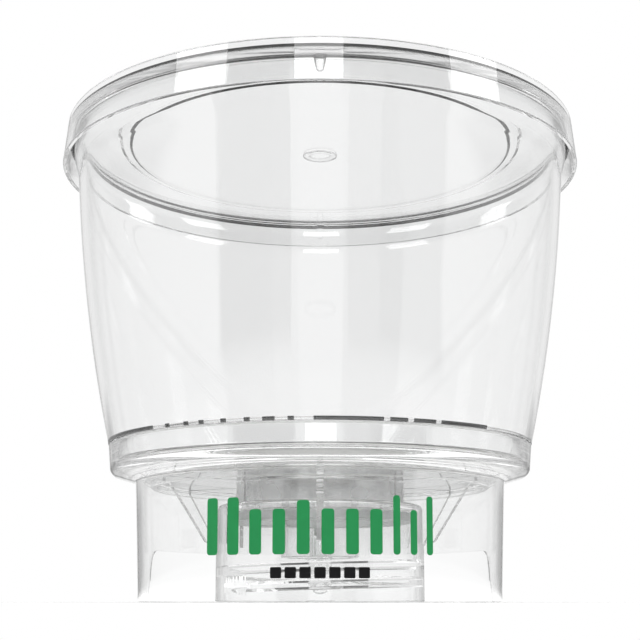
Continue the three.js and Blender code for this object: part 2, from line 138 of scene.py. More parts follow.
def rounded(corners: Sequence[Corner]) -> list[Point]:
    """Turns corners into the points of a closed outline, with each rounding as a run of facets.

    Args:
        corners: The corners in order, counter-clockwise with the radius to the right.

    Returns:
        The outline's points as (radius, height).
    """
    points: list[Point] = []
    for i, corner in enumerate(corners):
        at = Vector((corner.radius, corner.height))
        if corner.rounding == 0:
            points.append((at.x, at.y))
            continue
        before, after = corners[i - 1], corners[(i + 1) % len(corners)]
        back = (Vector((before.radius, before.height)) - at).normalized()
        onward = (Vector((after.radius, after.height)) - at).normalized()
        half = back.angle(onward) / 2
        run = corner.rounding / math.tan(half)
        centre = at + (back + onward).normalized() * (corner.rounding / math.sin(half))
        first, last = at + back * run - centre, at + onward * run - centre
        turn = first.angle_signed(last)
        steps = max(2, math.ceil(abs(turn) / ROUNDING_STEP))
        for step in range(steps + 1):
            arm = first.copy()
            arm.rotate(Matrix.Rotation(-turn * step / steps, 2))
            points.append((centre.x + arm.x, centre.y + arm.y))
    return points


def linked(name: str, mesh: bpy.types.Mesh) -> bpy.types.Object:
    """Puts a mesh in the scene.

    Args:
        name: The new object's name.
        mesh: Its mesh.

    Returns:
        The new object.
    """
    piece = bpy.data.objects.new(name, mesh)
    bpy.context.scene.collection.objects.link(piece)
    return piece


def from_bmesh(name: str, build: bmesh.types.BMesh) -> bpy.types.Object:
    """Makes an object of a closed mesh under construction, with its faces pointing out.

    Args:
        name: The new object's name.
        build: The mesh in millimetres. It is used up.

    Returns:
        The new object, in metres.
    """
    bmesh.ops.recalc_face_normals(build, faces=build.faces)
    bmesh.ops.scale(build, vec=(MM, MM, MM), verts=build.verts)
    mesh = bpy.data.meshes.new(name)
    build.to_mesh(mesh)
    build.free()
    return linked(name, mesh)


def turns_of(steps: int) -> list[float]:
    """Gives evenly spaced angles round a full turn."""
    return [2 * math.pi * step / steps for step in range(steps)]


def turned(degrees: float) -> Matrix:
    """Gives the rotation round the vertical axis by an angle."""
    return Matrix.Rotation(math.radians(degrees), 3, "Z")


def revolved(name: str, outline: Sequence[Point]) -> bpy.types.Object:
    """Turns a closed outline round the vertical axis.

    Args:
        name: The new object's name.
        outline: Points as (radius, height). Those on the axis become poles.

    Returns:
        The new closed solid.
    """
    build = bmesh.new()
    turns = turns_of(ROUND_STEPS)
    rings = []
    for radius, height in outline:
        if abs(radius) < ON_AXIS:
            rings.append([build.verts.new((0, 0, height))] * ROUND_STEPS)
        else:
            ring = [(radius * math.cos(turn), radius * math.sin(turn), height) for turn in turns]
            rings.append([build.verts.new(point) for point in ring])
    for ring, after in zip(rings, rings[1:] + rings[:1]):
        for i in range(ROUND_STEPS):
            j = (i + 1) % ROUND_STEPS
            corners = list(dict.fromkeys((ring[i], ring[j], after[j], after[i])))
            if len(corners) > 2:
                build.faces.new(corners)
    return from_bmesh(name, build)


def lofted(name: str, sections: Sequence[Sequence[Vector]]) -> bpy.types.Object:
    """Joins sections with the same number of points into a closed solid.

    Args:
        name: The new object's name.
        sections: The sections in order. The first and last are closed by a face.

    Returns:
        The new closed solid.
    """
    build = bmesh.new()
    rows = [[build.verts.new(point) for point in section] for section in sections]
    for row, after in zip(rows, rows[1:]):
        for i in range(len(row)):
            j = (i + 1) % len(row)
            build.faces.new((row[i], row[j], after[j], after[i]))
    build.faces.new(rows[0])
    build.faces.new(rows[-1])
    return from_bmesh(name, build)


def tube_along(
    name: str, radii: Sequence[Point], place: Callable[[float, float, float], Vector]
) -> bpy.types.Object:
    """Makes a solid of round sections that a function puts in place.

    Args:
        name: The new object's name.
        radii: The sections as (radius, distance along the tube).
        place: Gives the point for a section's own two coordinates and its distance.

    Returns:
        The new closed solid.
    """
    turns = turns_of(TUBE_STEPS)
    return lofted(
        name,
        [
            [place(radius * math.cos(turn), radius * math.sin(turn), along) for turn in turns]
            for radius, along in radii
        ],
    )


def plate(name: str, outline: Sequence[Point], thickness: float, angle: float) -> bpy.types.Object:
    """Makes an upright plate whose outline is drawn in radius and height.

    Args:
        name: The new object's name.
        outline: Points as (radius, height).
        thickness: The plate's thickness.
        angle: The plate's direction round the axis, in degrees from +X.

    Returns:
        The new closed solid.
    """
    turn = turned(angle)
    sides = [
        [turn @ Vector((radius, side * thickness / 2, height)) for radius, height in outline]
        for side in (-1, 1)
    ]
    return lofted(name, sides)


def block(name: str, low: Sequence[float], high: Sequence[float], angle: float = 0) -> bpy.types.Object:
    """Makes a box between two corners, turned round the axis.

    Args:
        name: The new object's name.
        low: Its lowest corner.
        high: Its highest corner.
        angle: The turn in degrees.

    Returns:
        The new closed solid.
    """
    turn = turned(angle)
    plan = ((low[0], low[1]), (high[0], low[1]), (high[0], high[1]), (low[0], high[1]))
    return lofted(name, [[turn @ Vector((x, y, z)) for x, y in plan] for z in (low[2], high[2])])


class Moulding:
    """A solid that tools are joined to or cut from, until it is one clean mesh."""

    def __init__(self, body: bpy.types.Object) -> None:
        """Starts with a closed solid.

        Args:
            body: The solid to work on.
        """
        self.body = body

    def work(self, operation: Operation, tools: Iterable[bpy.types.Object]) -> "Moulding":
        """Joins or cuts closed solids, which are used up.

        Args:
            operation: What is done with the tools.
            tools: The solids.

        Returns:
            The moulding itself.
        """
        for tool in tools:
            step = self.body.modifiers.new("work", "BOOLEAN")
            step.operation = operation.value
            step.solver = "MANIFOLD"
            step.object = tool
            self._settle()
            bpy.data.objects.remove(tool)
        return self

    def _settle(self) -> None:
        """Applies the body's modifiers to its mesh."""
        bpy.context.view_layer.update()
        graph = bpy.context.evaluated_depsgraph_get()
        mesh = bpy.data.meshes.new_from_object(self.body.evaluated_get(graph))
        self.body.modifiers.clear()
        self.body.data = mesh


# ---------------------------------------------------------------- finishes
class Nodes:
    """Writes the nodes of one material or world."""

    def __init__(self, tree: bpy.types.NodeTree) -> None:
        """Empties the node tree and keeps it.

        Args:
            tree: The tree to write in.
        """
        self.tree = tree
        tree.nodes.clear()

    def add(self, kind: str, **inputs: object) -> bpy.types.Node:
        """Adds a node.

        Args:
            kind: The node's type, without "ShaderNode".
            **inputs: Socket values, or sockets to link, by the socket's name with _ for spaces.

        Returns:
            The new node.
        """
        node = self.tree.nodes.new("ShaderNode" + kind)
        for name, value in inputs.items():
            self.feed(node.inputs[name.replace("_", " ")], value)
        return node

    def feed(self, socket: bpy.types.NodeSocket, value: object) -> None:
        """Sets a socket's own value, or links another socket to it.

        Args:
            socket: The input.
            value: A number, a colour or an output socket.
        """
        if isinstance(value, bpy.types.NodeSocket):
            self.tree.links.new(value, socket)
        elif isinstance(value, tuple) and len(value) == 3 and socket.type == "RGBA":
            socket.default_value = (*value, 1)
        else:
            socket.default_value = value

    def maths(self, operation: str, first: object, second: object = 0.0) -> bpy.types.NodeSocket:
        """Works out a number.

        Args:
            operation: A Math node's operation.
            first: The first number or socket.
            second: The second number or socket.

        Returns:
            The result's socket.
        """
        node = self.add("Math")
        node.operation = operation
        self.feed(node.inputs[0], first)
        self.feed(node.inputs[1], second)
        return node.outputs[0]

    def ranged(self, value: object, start: Point, end: Point) -> bpy.types.NodeSocket:
        """Maps a number smoothly from one range to another.

        Args:
            value: The number or socket.
            start: The number where the ramp starts, and what it gives there.
            end: The number where the ramp ends, and what it gives there.

        Returns:
            The result's socket.
        """
        node = self.add("MapRange")
        node.interpolation_type = "SMOOTHSTEP"
        self.feed(node.inputs["Value"], value)
        self.feed(node.inputs["From Min"], start[0])
        self.feed(node.inputs["From Max"], end[0])
        self.feed(node.inputs["To Min"], start[1])
        self.feed(node.inputs["To Max"], end[1])
        return node.outputs["Result"]

    def noise(self, grain: float, detail: float = 2.0, stretch: Colour = (1, 1, 1)) -> bpy.types.NodeSocket:
        """Gives soft noise over the object.

        Args:
            grain: The size of its blotches in millimetres.
            detail: How many finer layers it has.
            stretch: Scale along each axis.

        Returns:
            The noise's socket, from 0 to 1.
        """
        place = self.add("Mapping", Vector=self.add("TexCoord").outputs["Object"])
        place.inputs["Scale"].default_value = stretch
        node = self.add("TexNoise", Vector=place.outputs[0], Scale=1 / (grain * MM), Detail=detail)
        return node.outputs["Fac"]

    def bump(self, height: object, depth: float) -> bpy.types.NodeSocket:
        """Raises a surface by a pattern.

        Args:
            height: The pattern's socket.
            depth: The relief in millimetres.

        Returns:
            The normal's socket.
        """
        return self.add("Bump", Height=height, Strength=1.0, Distance=depth * MM).outputs[0]

    def any_ray(self, *kinds: Ray) -> bpy.types.NodeSocket:
        """Tells whether the ray is one of some kinds.

        Args:
            *kinds: The kinds.

        Returns:
            The socket, 1 for those rays and 0 for others.
        """
        path = self.add("LightPath")
        total: object = 0.0
        for kind in kinds:
            total = self.maths("MAXIMUM", total, path.outputs[kind.value])
        return total

    def unmirrored(self) -> bpy.types.NodeSocket:
        """Tells whether the ray came through the plastic without a reflection on its way.

        Returns:
            The socket, 1 for those rays and 0 for others.
        """
        reflections = self.add("LightPath").outputs["Glossy Depth"]
        none = self.maths("LESS_THAN", reflections, 0.5)
        return self.maths("MULTIPLY", self.any_ray(Ray.TRANSMISSION), none)

    def blended(self, share: object, first: Colour, second: Colour) -> bpy.types.NodeSocket:
        """Mixes two colours.

        Args:
            share: The second one's share, as a number or socket.
            first: The first colour.
            second: The second colour.

        Returns:
            The mixed colour's socket.
        """
        node = self.add("Mix", Factor=share)
        node.data_type = "RGBA"
        sockets = {socket.identifier: socket for socket in (*node.inputs, *node.outputs)}
        self.feed(sockets["A_Color"], first)
        self.feed(sockets["B_Color"], second)
        return sockets["Result_Color"]

    def mixed(self, share: object, first: bpy.types.Node, second: bpy.types.Node) -> bpy.types.NodeSocket:
        """Mixes two shaders.

        Args:
            share: The second one's share, as a number or socket.
            first: The first shader.
            second: The second shader.

        Returns:
            The mixed shader's socket.
        """
        mix = self.add("MixShader")
        self.feed(mix.inputs[0], share)
        self.feed(mix.inputs[1], first.outputs[0])
        self.feed(mix.inputs[2], second.outputs[0])
        return mix.outputs[0]

    def output(self, shader: bpy.types.NodeSocket, kind: str = "OutputMaterial") -> bpy.types.Node:
        """Sends a shader to the output.

        Args:
            shader: The shader's socket.
            kind: The output node's type.

        Returns:
            The output node.
        """
        return self.add(kind, Surface=shader)


def new_material(name: str) -> tuple[bpy.types.Material, Nodes]:
    """Makes an empty node material.

    Args:
        name: Its name.

    Returns:
        The material and the writer of its nodes.
    """
    material = bpy.data.materials.new(name)
    material.use_nodes = True
    return material, Nodes(material.node_tree)


@dataclass(frozen=True)
class ClearStyrene:
    """Clear injection-moulded styrene: glossy, with the faint flow waves that the mould leaves.

    Attributes:
        name: The material's name.
        tint: What the plastic lets through.
        index: Refractive index.
        polish: Roughness of the best and the worst polished spots.
        polish_patch: Size of those spots.
        polish_spread: Between which levels of the noise the polish changes.
        wave_length: Size of the flow waves.
        wave_depth: Height of the flow waves.
        wave_stretch: Scale of the flow waves upright, small for long streaks.
        edge: Share of the tint that is left where the plastic is seen edge on, as painted edge shade.
        murk: What the plastic takes from light on its way through, per metre.
    """

    name: str
    tint: Colour
    index: float = 1.585
    polish: Point = (0.0, 0.03)
    polish_patch: float = 9.0
    polish_spread: Point = (0.35, 0.8)
    wave_length: float = 16.0
    wave_depth: float = 0.006
    wave_stretch: float = 0.45
    edge: float = 0.9
    murk: float = 9.0

    def material(self) -> bpy.types.Material:
        """Writes the material.

        Returns:
            The material.
        """
        material, nodes = new_material(self.name)
        spots = nodes.noise(self.polish_patch)
        roughness = nodes.ranged(spots, *zip(self.polish_spread, self.polish))
        flow = nodes.noise(self.wave_length, stretch=(1, 1, self.wave_stretch))
        wave = nodes.bump(flow, self.wave_depth)
        # painted shade: the tint darkens where the plastic is seen edge on, for dark edges
        edge_on = nodes.add("LayerWeight", Blend=0.5).outputs["Facing"]
        left = nodes.ranged(edge_on, PAINTED_EDGE_SHADE_START, (PAINTED_EDGE_SHADE_FULL, self.edge))
        tint = nodes.add("VectorMath", Vector=self.tint)
        tint.operation = "MULTIPLY"
        nodes.feed(tint.inputs[1], left)
        plastic = nodes.add(
            "BsdfPrincipled",
            Base_Color=tint.outputs[0],
            Transmission_Weight=1.0,
            IOR=self.index,
            Roughness=roughness,
            Normal=wave,
        )
        # Fresnel turns the index over where light leaves the plastic. Light that goes straight through
        # meets both faces as from the air, so the index is turned over there before.
        leaving = nodes.maths("MULTIPLY", nodes.add("NewGeometry").outputs["Backfacing"], 2.0)
        from_air = nodes.maths("POWER", self.index, nodes.maths("SUBTRACT", 1.0, leaving))
        mirrored = nodes.add("Fresnel", IOR=from_air).outputs[0]
        straight = nodes.add("BsdfTransparent", Color=nodes.maths("SUBTRACT", 1.0, mirrored))
        shader = nodes.mixed(nodes.any_ray(Ray.SHADOW, Ray.DIFFUSE), plastic, straight)
        output = nodes.output(shader)
        # a grey that keeps half takes half of the density from the light
        inside = nodes.add("VolumeAbsorption", Color=HALF, Density=self.murk / HALF[0])
        nodes.feed(output.inputs["Volume"], inside.outputs[0])
        return material


@dataclass(frozen=True)
class SolidFinish:
    """An opaque finish with a fine grain and slow unevenness.

    Attributes:
        name: The material's name.
        colour: Its colour.
        shade: Its colour in the darker patches.
        roughness: Lowest and highest roughness.
        grain: Size of the surface's grain.
        relief: Height of the grain.
        patch: Size of the patches.
        patch_spread: Between which levels of the noise the roughness changes.
        grain_detail: How many finer layers the grain has.
        clear: Share of light that passes through.
        glow: Share of light that comes through softened.
        gloss: Strength of its reflections.
    """

    name: str
    colour: Colour
    shade: Colour
    roughness: Point
    grain: float
    relief: float
    patch: float
    patch_spread: Point = (0.3, 0.7)
    grain_detail: float = 4.0
    clear: float = 0.0
    glow: float = 0.0
    gloss: float = 0.5

    def material(self) -> bpy.types.Material:
        """Writes the material.

        Returns:
            The material.
        """
        material, nodes = new_material(self.name)
        colour = nodes.blended(nodes.noise(self.patch), self.shade, self.colour)
        grain = nodes.noise(self.grain, detail=self.grain_detail)
        shader = nodes.add(
            "BsdfPrincipled",
            Base_Color=colour,
            Roughness=nodes.ranged(nodes.noise(self.patch), *zip(self.patch_spread, self.roughness)),
            Transmission_Weight=self.clear,
            Specular_IOR_Level=self.gloss,
            Normal=nodes.bump(grain, self.relief),
        )
        through = nodes.add("BsdfTranslucent", Color=colour)
        nodes.output(nodes.mixed(self.glow, shader, through))
        return material


STYRENE = ClearStyrene("clear_styrene", tint=(0.965, 0.967, 0.967), murk=1.2)
# near-black plastic for the painted shade lines on the lid's slanted edges
STYRENE_PAINTED_SHADE = ClearStyrene("clear_styrene_painted_shade", tint=(0.02, 0.02, 0.02), murk=1.2)
STYRENE_BASE = ClearStyrene(
    "clear_styrene_base", tint=(0.99, 0.992, 0.992), wave_length=11.0, edge=0.5, murk=8.0
)
STYRENE_SATIN = ClearStyrene(
    "satin_styrene",
    tint=(0.995, 0.997, 0.997),
    polish=(0.22, 0.32),
    wave_length=4.0,
    wave_depth=0.25,
    wave_stretch=0.03,
    edge=1.0,
    murk=0.5,
)
# near-black plastic for the painted shade patches round the funnel's foot
PAINTED_JOINT_SHADE = ClearStyrene("painted_joint_shade", tint=(0.075, 0.076, 0.076), wave_length=40.0)
MEMBRANE = SolidFinish(
    "filter_membrane",
    colour=(0.93, 0.93, 0.92),
    shade=(0.9, 0.9, 0.89),
    roughness=(0.75, 0.95),
    grain=0.12,
    relief=0.01,
    patch=7.0,
    glow=0.35,
)
SILICONE = SolidFinish(
    "silicone_rubber",
    colour=(0.96, 0.965, 0.965),
    shade=(0.92, 0.93, 0.93),
    roughness=(0.3, 0.45),
    grain=0.3,
    relief=0.008,
    patch=5.0,
    clear=0.85,
    glow=0.25,
)
FIBRE = SolidFinish(
    "fibre_plug",
    colour=(0.9, 0.9, 0.88),
    shade=(0.78, 0.78, 0.76),
    roughness=(0.9, 1.0),
    grain=0.18,
    relief=0.06,
    patch=1.2,
)
GREEN_INK = SolidFinish(
    "green_ink",
    colour=(0.0235, 0.29, 0.09),
    shade=(0.018, 0.25, 0.075),
    roughness=(0.4, 0.6),
    grain=0.15,
    relief=0.004,
    patch=3.0,
    gloss=0.15,
)
BLACK_INK = SolidFinish(
    "black_ink",
    colour=(0.006, 0.006, 0.0065),
    shade=(0.011, 0.011, 0.012),
    roughness=(0.4, 0.6),
    grain=0.15,
    relief=0.004,
    patch=3.0,
    gloss=0.12,
)


def dress(piece: bpy.types.Object, *materials: bpy.types.Material) -> None:
    """Gives a piece its materials and smooth shading with crisp edges, and lets it ride.

    Args:
        piece: The finished piece.
        *materials: The material of all its faces, and those that single faces get later.
    """
    mesh = piece.data
    mesh.materials.clear()
    for material in materials:
        mesh.materials.append(material)
    mesh.shade_smooth()
    mesh.set_sharp_from_angle(angle=SHARP_ANGLE)
    even = piece.modifiers.new("even_shading", "WEIGHTED_NORMAL")
    even.keep_sharp = True
    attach(piece, BODY)


def report(piece: bpy.types.Object, node: str | None = None) -> None:
    """Hides the CAD node that a piece stands for, and logs the piece.

    Args:
        piece: The piece.
        node: The CAD node that it replaces.
    """
    if node is not None:
        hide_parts(node)
    log.info("%s: %d faces", piece.name, len(piece.data.polygons))


@dataclass(frozen=True)
class NodeBox:
    """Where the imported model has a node, in millimetres.

    Attributes:
        low: Lowest corner.
        high: Highest corner.
    """

    low: Vector
    high: Vector

    @classmethod
    def of(cls, node: str) -> "NodeBox":
        """Reads a node's box from the frame.

        Args:
            node: The node's name.

        Returns:
            Its box.
        """
        low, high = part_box(node)
        return cls(low / MM, high / MM)


# ---------------------------------------------------------------- sub-assemblies
@dataclass
class Lid:
    """The loose lid: a plate with a raised rim, a sunk panel, a gate mark and two centring drops."""

    skirt_wall: float = 1.1
    plate: float = 1.45
    rim_height: float = 2.3
    rim_width: float = 1.6
    draft: float = 1.0
    panel_radius: float = 48.0
    panel_top_radius: float = 50.4
    panel_step: float = 0.65
    panel_depth: float = 0.28
    gate_radius: float = 4.4
    gate_depth: float = 0.7
    gate_steps: int = 6
    drop_width: float = 3.0
    drop_length: float = 4.4
    drop_profile: tuple[Point, ...] = (
        (0.1, 1.0),
        (0.32, 0.985),
        (0.48, 0.93),
        (0.58, 0.85),
        (0.72, 0.6),
        (0.88, 0.3),
        (1.0, 0.0),
    )  # width and distance under the plate, as shares of the drop's own
    drop_angles: Point = (BACK, BACK + 180)
    drop_depth: float = 0.6  # as a share of its width
    drop_sunk: float = 0.35  # how far it sinks in the wall, as a share of its half width
    edge_round: float = 0.3
    rim_round: float = 0.45
    rim_foot_round: float = 0.9
    plate_round: float = 1.4
    panel_round: float = 0.1
    painted_shade_slant: Point = (0.08, 0.98)  # how far up or down the slanted faces that get painted shade look

    def _wall(self, height: float) -> float:
        """Gives the outer wall's radius at a height.

        Args:
            height: The height.

        Returns:
            The radius.
        """
        box = NodeBox.of("lid")
        share = (height - box.low.z) / (box.high.z - box.low.z)
        return box.high.x - self.draft * share

    def _dimple(self, level: float) -> list[Corner]:
        """Gives the gate mark's hollow from its edge to the axis, seen from above.

        Args:
            level: Height of the panel's face round it.

        Returns:
            Corners from the hollow's edge to the axis.
        """
        corners = []
        for step in range(self.gate_steps + 1):
            angle = math.pi / 2 * step / self.gate_steps
            drop = self.gate_depth * math.sin(angle)
            corners.append(Corner(self.gate_radius * math.cos(angle), level - drop))
        corners[-1] = Corner(0.0, level - self.gate_depth)
        return corners

    def _drop(self, angle: float) -> bpy.types.Object:
        """Makes a drop-shaped rib on the inside of the skirt.

        Args:
            angle: Its direction round the axis, in degrees.

        Returns:
            The rib.
        """
        box = NodeBox.of("lid")
        under = box.high.z - self.rim_height - self.plate
        reach = self._wall(under) - self.skirt_wall / 2
        turn = turned(angle)
        half = self.drop_width / 2
        middle = reach - half * self.drop_sunk
        stations = [(half * wide, under - self.drop_length * down) for wide, down in self.drop_profile]
        return tube_along(
            "drop",
            [*stations, (half, under + self.plate / 2)],
            lambda across, out, height: turn @ Vector((middle + out * self.drop_depth, across, height)),
        )

    def build(self) -> bpy.types.Object:
        """Builds the lid.

        Returns:
            The piece.
        """
        box = NodeBox.of("lid")
        top = box.high.z
        plate_top = top - self.rim_height
        under = plate_top - self.plate
        inner_rim = self._wall(top) - self.rim_width
        soft, fine = self.edge_round, self.panel_round
        outline = [
            *reversed(self._dimple(under - self.panel_depth)),
            Corner(self.panel_radius, under - self.panel_depth, fine),
            Corner(self.panel_radius + self.panel_step, under, fine),
            Corner(self._wall(under) - self.skirt_wall, under, self.plate_round),
            Corner(self._wall(box.low.z) - self.skirt_wall, box.low.z, soft),
            Corner(self._wall(box.low.z), box.low.z, soft),
            Corner(self._wall(top), top, self.rim_round),
            Corner(inner_rim, top, self.rim_round),
            Corner(inner_rim, plate_top, self.rim_foot_round),
            Corner(self.panel_top_radius + self.panel_step, plate_top, fine),
            Corner(self.panel_top_radius, plate_top - self.panel_depth, fine),
            *self._dimple(plate_top - self.panel_depth),
        ]
        piece = revolved("lid_shell", rounded(outline))
        Moulding(piece).work(Operation.JOIN, [self._drop(angle) for angle in self.drop_angles])
        dress(piece, STYRENE.material(), STYRENE_PAINTED_SHADE.material())
        # painted shade: the slanted faces of the panel's step, the corner under the plate and the rim's
        # foot take the near-black material, as dark lines on the clear edges
        corner_from = self._wall(under) - self.skirt_wall - self.plate_round
        for face in piece.data.polygons:
            radius, height = face.center.xy.length / MM, face.center.z / MM
            step = abs(radius - self.panel_radius - self.panel_step / 2) < self.panel_step
            below = abs(height - under + self.plate_round / 2) < self.plate_round / 2
            above = plate_top < height < plate_top + self.rim_foot_round
            lower = below and (step or radius > corner_from)
            upper = above and inner_rim - self.rim_foot_round < radius < inner_rim
            if self.painted_shade_slant[0] < abs(face.normal.z) < self.painted_shade_slant[1] and (lower or upper):
                face.material_index = 1
        report(piece, "lid")
        return piece


@dataclass
class Funnel:
    """The clear funnel, with a mouth that steps out and a ring that clamps the membrane."""

    wall: float = 1.9
    flare_width: float = 1.4
    flare_height: float = 5.4
    flare_drop: float = 3.0
    flare_round: float = 12.0
    bulge: float = 1.4
    foot_radius: float = 51.4
    clamp_wall: float = 1.9
    shoulder_rise: float = 0.9
    weld_gap: float = 0.3
    wall_steps: int = 26
    lip_round: float = 0.7
    clamp_round: float = 0.3
    clamp_root_round: float = 0.15
    shoulder_round: float = 0.25
    wall_foot_round: float = 0.4
    shade_band_height: float = 0.8
    shade_band_depth: float = 0.5
    shade_runs: tuple[Point, ...] = (
        (-180.0, -44.5),
        (0.4, 15.0),
        (16.6, 21.0),
        (22.6, 28.0),
        (29.6, 45.5),
    )  # where the painted shade runs all along, in degrees
    spot_pitch: float = 5.6  # of the painted shade spots between the first two runs, in degrees
    spot_width: float = 1.6

    def _shows_painted_shade(self, azimuth: float) -> bool:
        """Tells whether the funnel's foot gets painted shade at a place.

        Args:
            azimuth: The place, in degrees round the axis from the front.

        Returns:
            Whether the painted shade shows there.
        """
        if any(start < azimuth < end for start, end in self.shade_runs):
            return True
        return azimuth < self.shade_runs[1][0] and -azimuth % self.spot_pitch < self.spot_width

    def build(self) -> bpy.types.Object:
        """Builds the funnel.

        Returns:
            The piece.
        """
        box = NodeBox.of("funnel")
        base = NodeBox.of("base")
        membrane = NodeBox.of("membrane")
        lip, foot = box.high.z, box.low.z
        shoulder = base.high.z + self.weld_gap
        mouth, lip_radius = box.high.x - self.flare_width, box.high.x
        flare_top = lip - self.flare_drop
        flare_bottom = flare_top - self.flare_height
        clamp_outer = membrane.high.x + self.weld_gap
        clamp_inner = clamp_outer - self.clamp_wall
        inner_start = shoulder + self.shoulder_rise
        shade_band_top = shoulder + self.shade_band_height

        def outer(height: float) -> float:
            """Gives the outer wall's radius at a height.

            Args:
                height: The height.

            Returns:
                The radius.
            """
            share = (height - shoulder) / (flare_bottom - shoulder)
            straight = self.foot_radius + (mouth - self.foot_radius) * share
            return straight + self.bulge * 4 * share * (1 - share)  # a parabola, full half way up

        steps = range(1, self.wall_steps)
        outside = [shoulder + (flare_bottom - shoulder) * step / self.wall_steps for step in steps]
        inside = [inner_start + (flare_bottom - inner_start) * step / self.wall_steps for step in steps]
        outline = [
            Corner(clamp_inner, foot, self.clamp_round),
            Corner(clamp_outer, foot, self.clamp_round),
            Corner(clamp_outer, shoulder, self.clamp_root_round),
            Corner(outer(shoulder), shoulder, self.shoulder_round),
            Corner(outer(shade_band_top), shade_band_top),
            *(Corner(outer(height), height) for height in outside),
            Corner(outer(flare_bottom), flare_bottom, self.flare_round),
            Corner(lip_radius, flare_top, self.flare_round),
            Corner(lip_radius, lip, self.lip_round),
            Corner(lip_radius - self.wall, lip, self.lip_round),
            Corner(lip_radius - self.wall, flare_top, self.flare_round),
            Corner(mouth - self.wall, flare_bottom, self.flare_round),
            *(Corner(outer(height) - self.wall, height) for height in reversed(inside)),
            Corner(outer(inner_start) - self.wall, inner_start, self.wall_foot_round),
            Corner(clamp_inner, shoulder, self.shoulder_round),
        ]
        piece = revolved("funnel_shell", rounded(outline))
        dress(piece, STYRENE.material(), STYRENE_BASE.material(), PAINTED_JOINT_SHADE.material())
        # the clamp ring takes the base's styrene; near-black patches round the foot are painted shade where
        # the joint looks dark
        for face in piece.data.polygons:
            height, radius = face.center.z / MM, face.center.xy.length / MM
            azimuth = math.degrees(math.atan2(face.center.x, -face.center.y))
            if height < shoulder:
                face.material_index = 1
            elif height < shade_band_top and radius > self.foot_radius - self.shade_band_depth:
                face.material_index = 2 if self._shows_painted_shade(azimuth) else 0
        report(piece, "funnel")
        return piece


@dataclass
class Membrane:
    """The filter membrane, a thin disc clamped at its edge."""

    edge_round: float = 0.08

    def build(self) -> bpy.types.Object:
        """Builds the membrane.

        Returns:
            The piece.
        """
        box = NodeBox.of("membrane")
        outline = [
            Corner(0.0, box.low.z),
            Corner(box.high.x, box.low.z, self.edge_round),
            Corner(box.high.x, box.high.z, self.edge_round),
            Corner(0.0, box.high.z),
        ]
        piece = revolved("membrane_disc", rounded(outline))
        dress(piece, MEMBRANE.material())
        report(piece, "membrane")
        return piece


